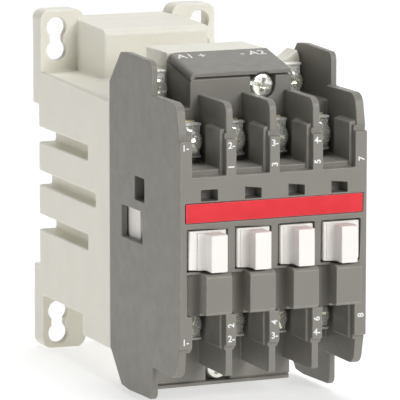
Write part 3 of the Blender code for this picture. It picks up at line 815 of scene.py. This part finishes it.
def edges_at(bm, axis, **where):
    """Sharp edges along an axis that pass through the given coordinates, in millimetres."""
    found = []
    for edge in bm.edges:
        middle = (edge.verts[0].co + edge.verts[1].co) / 2 / MM
        close = all(abs(getattr(middle, key) - value) < 0.15 for key, value in where.items())
        if close and along(edge, axis) and edge.calc_face_angle(0.0) > SHARP_ANGLE:
            found.append(edge)
    return found


def cap_shape(low, high):
    """The sloped cap as a shell that turns down over the block's left edge and rear corner."""
    left, right = low.x / MM - 0.04, high.x / MM
    front, rear = low.y / MM, high.y / MM
    floor, rise = low.z / MM, (high.z - low.z) / MM - CAP_THICKNESS
    outward = [math.radians(90 + 15 * step) for step in range(7)]
    bm = bmesh.new()
    rings = []
    for y, inset in [(front, 0.0)] + [(rear - before, inset) for before, inset in CAP_CORNER]:
        base = floor + rise * (y - front) / (rear - front)
        middle_x = left + inset + CAP_EDGE_RADIUS
        middle_z = base + CAP_THICKNESS - CAP_EDGE_RADIUS
        outline = [(right, base), (right, base + CAP_THICKNESS)]
        for radius, turns in (
            (CAP_EDGE_RADIUS, outward),
            (CAP_EDGE_RADIUS - CAP_THICKNESS, reversed(outward)),
        ):
            for turn in turns:
                spot = (middle_x + radius * math.cos(turn), middle_z + radius * math.sin(turn))
                outline.append(spot)
        rings.append([bm.verts.new((x * MM, y * MM, z * MM)) for x, z in outline])
    skin(bm, rings)
    bmesh.ops.recalc_face_normals(bm, faces=bm.faces)
    shell = bpy.data.meshes.new("shell")
    bm.to_mesh(shell)
    screw_low, screw_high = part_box("cap_screw_top")
    middle = (screw_low + screw_high) / 2
    notch_ends = (front - 1, front + CAP_NOTCH_LENGTH)
    notch = lathe([(CAP_NOTCH_RADIUS, y) for y in notch_ends], 32)
    notch.transform(Matrix.Translation((middle.x, 0.0, middle.z)))
    bm.clear()
    bm.from_mesh(carved(shell, [notch]))
    bmesh.ops.remove_doubles(bm, verts=bm.verts, dist=MERGE_DISTANCE)
    bmesh.ops.dissolve_limit(bm, angle_limit=FLAT_ANGLE, verts=bm.verts, edges=bm.edges)
    return bm


def add_housings():
    """The base, the front housing with its cap, and the band across the front."""
    base = cad_shape("base_housing")
    shoulder = edges_at(base, "Y", x=-22.0, z=26.8) + edges_at(base, "Y", x=22.0, z=26.8)
    bevel(base, shoulder, 1.5, 5)
    block = []
    for x in (-12.9, 12.9):
        block += edges_at(base, "Z", x=x, y=-23.2)
    bevel(base, block, 0.8, 4)
    # The feet's undersides, which lie against the wall, are too thin-walled to round
    hidden = [
        edge
        for edge in base.edges
        if all(v.co.y > -3.7 * MM and abs(v.co.z) > 26.0 * MM for v in edge.verts)
    ]
    stand_in("base_housing", rounded(base, 0.4, 2, hidden), "base_plastic")

    housing = cad_shape("contact_housing")
    low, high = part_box("coil_cap")
    # The left edges of the block that the cap turns down over
    roof = [
        edge
        for edge in housing.edges
        if all(abs(v.co.x - low.x) < 0.1 * MM and v.co.z > 32.5 * MM for v in edge.verts)
        and edge.calc_face_angle(0.0) > SHARP_ANGLE
    ]
    bevel(housing, roof, 0.6, 3)
    stand_in("contact_housing", rounded(housing, 0.25, 2), "housing_plastic")
    stand_in("coil_cap", rounded(cap_shape(low, high), 0.15, 2), "housing_plastic")
    label = cad_shape("front_label")
    stand_in("front_label", rounded(label, 0.08, 2), "label_red")


def add_rounded_pieces():
    """Pieces that are their CAD shape with softer edges."""
    for node, width, slot in (
        ("coil_bobbin", 0.3, "base_plastic"),
        ("contact_carrier", 0.28, "carrier_plastic"),
        ("magnet_yoke", 0.3, "core_iron"),
        ("armature", 0.3, "core_iron"),
        ("magnet_cushion", 0.25, "cushion_rubber"),
        ("armature_pin", 0.2, "zinc_steel"),
    ):
        stand_in(node, rounded(cad_shape(node), width), slot)
    stand_in("din_latch", rounded(cad_shape("din_latch"), 0.2), "core_iron", SHEET_STEEL)
    for number in range(1, 9):
        node = f"terminal_clamp_{number}"
        stand_in(node, rounded(cad_shape(node), 0.15), "zinc_steel", CLAMP_ZINC)
    for side in ("left", "right"):
        node = f"coil_clamp_{side}"
        stand_in(node, rounded(cad_shape(node), 0.15), "zinc_steel", CLAMP_ZINC)
        node = f"coil_terminal_{side}"
        stand_in(node, rounded(cad_shape(node), 0.15), "contact_brass")


def silver_tips(piece, front):
    """Gives the contact tips, which stand proud of the strip's front or rear, their silver."""
    piece.data.materials.append(SILVER)
    depth = np.array([vertex.co.y for vertex in piece.data.vertices])
    limit = depth.min() + TIP_HEIGHT * MM if front else depth.max() - TIP_HEIGHT * MM
    for face in piece.data.polygons:
        if (face.center.y < limit) == front:
            face.material_index = 1


def add_contacts():
    """Contact strips and bridges: the inner poles' tips are on the strips' rear faces."""
    for number in range(1, 9):
        node = f"fixed_contact_{number}"
        piece = stand_in(node, rounded(cad_shape(node), 0.15), "contact_brass")
        silver_tips(piece, front=number in (1, 2, 7, 8))
    for number in range(1, 5):
        node = f"contact_bridge_{number}"
        piece = stand_in(node, rounded(cad_shape(node), 0.15), "contact_brass")
        silver_tips(piece, front=number in (2, 3))


def add_screws():
    """Screws with threads and drives, each turned to its own angle."""
    nodes = [f"terminal_screw_{number}" for number in range(1, 9)]
    nodes += ["coil_screw_left", "coil_screw_right", "cap_screw_top", "cap_screw_bottom"]
    for node in nodes:
        low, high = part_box(node)
        radius = (high.x - low.x) / 2 / MM
        length = (high.y - low.y) / MM
        shank = length - SCREW_HEAD_HEIGHT
        mesh = screw_mesh(radius, SCREW_HEAD_HEIGHT, shank, chance.uniform(0, 180))
        middle = (low + high) / 2
        head_rear = low.y + SCREW_HEAD_HEIGHT * MM
        mesh.transform(Matrix.Translation((middle.x, head_rear, middle.z)))
        stand_in(node, mesh, "zinc_steel")


def add_springs():
    """Springs made afresh in place of the CAD springs, each with a mesh of its own."""
    for name in ("return_spring_upper", "return_spring_lower"):
        piece = spring_piece(name, *RETURN_SPRING)
        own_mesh(piece)
    for pole in range(1, 5):
        piece = spring_piece(f"contact_spring_{pole}", *CONTACT_SPRING)
        low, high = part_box(f"contact_spring_{pole}")
        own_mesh(piece)
    low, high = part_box("din_latch_spring")
    radius, wire, turns = LATCH_SPRING
    mesh = helix(radius, wire, (high.z - low.z) / MM, turns)
    mesh.transform(Matrix.Rotation(math.radians(90), 4, "X"))
    middle = (low + high) / 2
    mesh.transform(Matrix.Translation((middle.x, middle.y, low.z)))
    piece = stand_in("din_latch_spring", mesh, "zinc_steel")
    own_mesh(piece)


def spring_piece(node, radius, wire, turns):
    """A spring along Y in place of a CAD spring."""
    low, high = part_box(node)
    mesh = helix(radius, wire, (high.y - low.y) / MM, turns)
    middle = (low + high) / 2
    mesh.transform(Matrix.Translation((middle.x, low.y, middle.z)))
    return stand_in(node, mesh, "zinc_steel")


def add_winding():
    """The coil's copper."""
    low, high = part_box("coil_winding")
    stand_in("coil_winding", winding_mesh(low, high), "winding_copper")


# ---------------------------------------------------------------- printed marks
def mark(text, size, placing):
    """A printed mark as a thin mesh: text centred on the origin of its placing."""
    curve = bpy.data.curves.new("mark", "FONT")
    curve.body = text
    curve.size = size * MM
    curve.align_x = "CENTER"
    curve.align_y = "CENTER"
    curve.extrude = MARK_DEPTH * MM
    curve.offset = MARK_BOLDNESS * MM
    holder = bpy.data.objects.new("mark", curve)
    bpy.context.scene.collection.objects.link(holder)
    bpy.context.view_layer.update()
    graph = bpy.context.evaluated_depsgraph_get()
    mesh = bpy.data.meshes.new_from_object(holder.evaluated_get(graph))
    bpy.data.objects.remove(holder)
    mesh.transform(placing)
    return mesh


def joined(meshes):
    """One mesh from several."""
    bm = bmesh.new()
    for mesh in meshes:
        bm.from_mesh(mesh)
    bmesh.ops.remove_doubles(bm, verts=bm.verts, dist=PRINT_MERGE)
    mesh = bpy.data.meshes.new("joined")
    bm.to_mesh(mesh)
    bm.free()
    return mesh


def on_front(x, z, turn=0):
    """Placing on the front panel, reading from the front; turn is in degrees, anticlockwise."""
    upright = Matrix.Rotation(math.radians(90), 4, "X")
    spin = Matrix.Rotation(math.radians(turn), 4, "Z")
    return Matrix.Translation((x * MM, (PANEL_FRONT - 0.01) * MM, z * MM)) @ upright @ spin


def add_marks():
    """Generic terminal numbers on the marker strips and terminal letters on the cap."""
    marks = []
    for number, x in enumerate(STRIP_DASH_X, start=1):
        for z in STRIP_DASH_Z:
            marks.append(mark(f"{number}-", STRIP_MARK_SIZE, on_front(x, z)))
    for pair, x in enumerate(STRIP_NUMBER_X):
        for end, z in enumerate(STRIP_NUMBER_Z, start=1):
            marks.append(mark(str(2 * pair + end), STRIP_MARK_SIZE, on_front(x, z, 90)))
    show("strip_numbers", joined(marks), WHITE_INK, "housing")
    cap_marks = []
    front_y, front_z = CAP_FRONT
    for text, x in CAP_MARKS:
        z = front_z + (CAP_MARK_Y - front_y) * math.tan(CAP_SLOPE)
        placing = Matrix.Translation((x * MM, CAP_MARK_Y * MM, (z + 0.01) * MM))
        tilted = placing @ Matrix.Rotation(CAP_SLOPE, 4, "X")
        cap_marks.append(mark(text, CAP_MARK_SIZE, tilted))
    show("cap_marks", joined(cap_marks), WHITE_INK, "housing")


# ---------------------------------------------------------------- floor, light and camera
def add_stage():
    """A pale floor that glows a little, a grey sky and four softboxes."""
    floor = bpy.data.objects.new("floor", mesh_from(build_floor))
    bpy.context.scene.collection.objects.link(floor)
    surface = Surface("floor_white")
    body = surface.mix(surface.noise(3.0), (0.58, 0.58, 0.58), (0.6, 0.6, 0.6))
    surface.set(Base_Color=body, Roughness=0.9, Specular_IOR_Level=0.0)
    surface.set(Emission_Color=(1.0, 1.0, 1.0, 1.0), Emission_Strength=FLOOR_GLOW)
    floor.data.materials.append(surface.material)
    world = bpy.data.worlds.new("studio")
    bpy.context.scene.world = world
    world.use_nodes = True
    sky = world.node_tree.nodes["Background"]
    sky.inputs["Color"].default_value = (1.0, 1.0, 1.0, 1.0)
    sky.inputs["Strength"].default_value = SKY_STRENGTH
    for name, location, size, energy in SOFTBOXES:
        add_softbox(name, location, size, energy)


def build_floor(bm):
    """One square just under the object."""
    level = cad_bounds[0][2] - 0.0001
    corners = ((-1, -1), (1, -1), (1, 1), (-1, 1))
    places = [(x * FLOOR_REACH, y * FLOOR_REACH, level) for x, y in corners]
    bm.faces.new([bm.verts.new(place) for place in places])


def add_softbox(name, location, size, energy):
    """A square soft light that faces the object."""
    data = bpy.data.lights.new(name, "AREA")
    data.size = size
    data.energy = energy
    light = bpy.data.objects.new(name, data)
    light.location = location
    target = Vector(SOFTBOX_TARGET)
    light.rotation_euler = (target - light.location).to_track_quat("-Z", "Y").to_euler()
    bpy.context.scene.collection.objects.link(light)


def add_camera():
    """A long lens from the front left and a little above."""
    data = bpy.data.cameras.new("camera")
    data.sensor_width = 36.0
    data.lens = CAMERA_LENS
    data.clip_end = 20.0
    camera = bpy.data.objects.new("camera", data)
    camera.location = CAMERA_PLACE
    camera.rotation_euler = Vector(CAMERA_VIEW).to_track_quat("-Z", "Y").to_euler()
    bpy.context.scene.collection.objects.link(camera)
    bpy.context.scene.camera = camera
    bpy.context.scene.view_settings.view_transform = "Standard"


add_housings()
add_rounded_pieces()
add_contacts()
add_screws()
add_springs()
add_winding()
add_marks()
add_stage()
add_camera()
